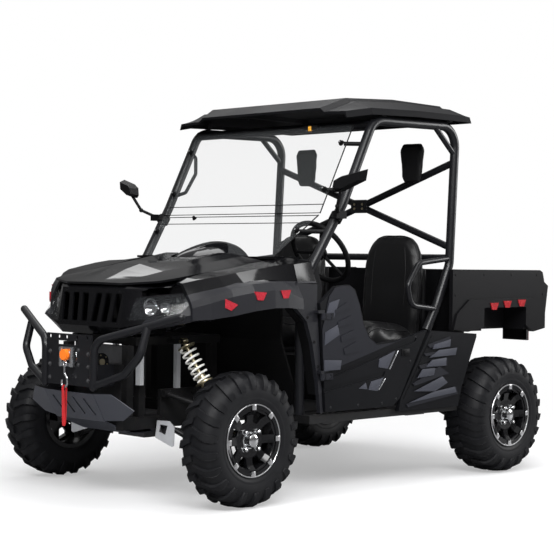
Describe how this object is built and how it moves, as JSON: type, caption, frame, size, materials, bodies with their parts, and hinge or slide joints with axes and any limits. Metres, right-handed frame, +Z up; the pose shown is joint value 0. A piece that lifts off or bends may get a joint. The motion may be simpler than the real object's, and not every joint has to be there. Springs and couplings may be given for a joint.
{
  "type": "side by side utility vehicle",
  "caption": "Two-seat side by side utility vehicle with roll cage, roof, windshield, tipping cargo bed, half doors, tube bumper and winch; wheels, steering, doors, hood and bed move.",
  "frame": {"origin": "on the ground under the middle of the bounding box", "axes": "+X forward, +Y to the driver's side (the vehicle's left), +Z up"},
  "size_m": [2.9166, 1.8634, 2.0189],
  "materials": {
    "frame_paint": "satin black powder coat",
    "cage_paint": "satin black powder coat",
    "damper_metal": "zinc plated",
    "spring_white": "white enamel",
    "cast_grey": "cast",
    "matte_black": "textured moulding",
    "gloss_black": "gloss paint",
    "clear_pane": "clear",
    "lamp_clear": "clear lens",
    "trim_black": "satin",
    "winch_metal": "satin",
    "seat_vinyl": "grained vinyl",
    "engine_metal": "cast",
    "tyre_rubber": "moulded rubber",
    "rim_alloy": "gloss black with machined lip",
    "lens_red": "red lens",
    "stop_orange": "rubber stop",
    "strap_red": "woven strap",
    "bright_metal": "bright"
  },
  "bodies": {
    "chassis": {"arm_guards": "bright_metal", "bright_posts": "bright_metal", "bumper_skid": "cage_paint", "cab_floor": "matte_black", "cable_stop": "stop_orange", "cage_cross_members": "cage_paint", "cage_side_members": "cage_paint", "chassis_frame": "frame_paint", "coil_springs": "spring_white", "controls": "trim_black", "dampers": "damper_metal", "dashboard": "matte_black", "exhaust": "engine_metal", "fairlead": "bright_metal", "fender_lenses": "lens_red", "front_arms": "frame_paint", "front_body": "gloss_black", "front_bumper": "cage_paint", "gearcases": "engine_metal", "grab_handle": "cage_paint", "half_shafts": "cast_grey", "headlamps": "lamp_clear", "headrests": "seat_vinyl", "hitch_receiver": "frame_paint", "mirrors": "trim_black", "powertrain": "engine_metal", "radiator": "engine_metal", "rear_arms": "frame_paint", "rear_knuckles": "cast_grey", "rear_side_panels": "matte_black", "roof": "matte_black", "seat_backs": "seat_vinyl", "seat_cushions": "seat_vinyl", "side_bolsters": "cage_paint", "steering_column": "frame_paint", "wheel_liners": "matte_black", "winch": "winch_metal", "winch_strap": "strap_red", "windshield": "clear_pane", "windshield_clamps": "trim_black"},
    "knuckle_left": {"knuckle_left": "cast_grey"},
    "knuckle_right": {"knuckle_right": "cast_grey"},
    "steering_rack": {"steering_rack": "cast_grey"},
    "steering_wheel": {"steering_wheel": "trim_black"},
    "hood": {"hood": "gloss_black"},
    "door_left": {"door_left": "matte_black"},
    "door_right": {"door_right": "matte_black"},
    "cargo_bed": {"cargo_bed": "matte_black", "bed_lenses": "lens_red"},
    "tailgate": {"tailgate": "matte_black"},
    "wheel_front_left": {"rim_front_left": "rim_alloy", "tyre_front_left": "tyre_rubber"},
    "wheel_front_right": {"rim_front_right": "rim_alloy", "tyre_front_right": "tyre_rubber"},
    "wheel_rear_left": {"rim_rear_left": "rim_alloy", "tyre_rear_left": "tyre_rubber"},
    "wheel_rear_right": {"rim_rear_right": "rim_alloy", "tyre_rear_right": "tyre_rubber"}
  },
  "joints": [
    {"name": "steer_left", "type": "hinge", "parent": "chassis", "child": "knuckle_left", "pos_m": [0.95, 0.545, 0.3175], "axis": [0, 0, 1], "range_deg": [-28, 28]},
    {"name": "steer_right", "type": "hinge", "parent": "chassis", "child": "knuckle_right", "pos_m": [0.95, -0.545, 0.3175], "axis": [0, 0, 1], "range_deg": [-28.5, 28.5]},
    {"name": "wheel_front_left_spin", "type": "hinge", "parent": "knuckle_left", "child": "wheel_front_left", "pos_m": [0.95, 0.69, 0.3175], "axis": [0, 1, 0], "continuous": true},
    {"name": "wheel_rear_left_spin", "type": "hinge", "parent": "chassis", "child": "wheel_rear_left", "pos_m": [-0.99, 0.69, 0.3175], "axis": [0, 1, 0], "continuous": true},
    {"name": "wheel_front_right_spin", "type": "hinge", "parent": "knuckle_right", "child": "wheel_front_right", "pos_m": [0.95, -0.69, 0.3175], "axis": [0, 1, 0], "continuous": true},
    {"name": "wheel_rear_right_spin", "type": "hinge", "parent": "chassis", "child": "wheel_rear_right", "pos_m": [-0.99, -0.69, 0.3175], "axis": [0, 1, 0], "continuous": true},
    {"name": "rack_slide", "type": "slide", "parent": "chassis", "child": "steering_rack", "axis": [0, 1, 0], "range_m": [-0.0475, 0.0475]},
    {"name": "steering_wheel_turn", "type": "hinge", "parent": "chassis", "child": "steering_wheel", "pos_m": [0.08, 0.362, 1.2], "axis": [-0.8343, 0, 0.5513], "range_deg": [-270, 270]},
    {"name": "hood_lift", "type": "hinge", "parent": "chassis", "child": "hood", "pos_m": [0.6, 0, 1.15], "axis": [0, -1, 0], "range_deg": [0, 45]},
    {"name": "door_left_swing", "type": "hinge", "parent": "chassis", "child": "door_left", "pos_m": [0.475, 0.762, 0.72], "axis": [0, 0, -1], "range_deg": [0, 75]},
    {"name": "door_right_swing", "type": "hinge", "parent": "chassis", "child": "door_right", "pos_m": [0.475, -0.762, 0.72], "axis": [0, 0, 1], "range_deg": [0, 75]},
    {"name": "bed_tip", "type": "hinge", "parent": "chassis", "child": "cargo_bed", "pos_m": [-1.265, 0, 0.722], "axis": [0, -1, 0], "range_deg": [0, 40]},
    {"name": "tailgate_drop", "type": "hinge", "parent": "cargo_bed", "child": "tailgate", "pos_m": [-1.422, 0, 0.812], "axis": [0, -1, 0], "range_deg": [0, 90]}
  ],
  "couplings": [
    {"joint": "steer_right", "follows": "steer_left", "ratio": 1},
    {"joint": "rack_slide", "follows": "steer_left", "m_per_rad": -0.0955},
    {"joint": "steering_wheel_turn", "follows": "steer_left", "ratio": 9.6}
  ]
}
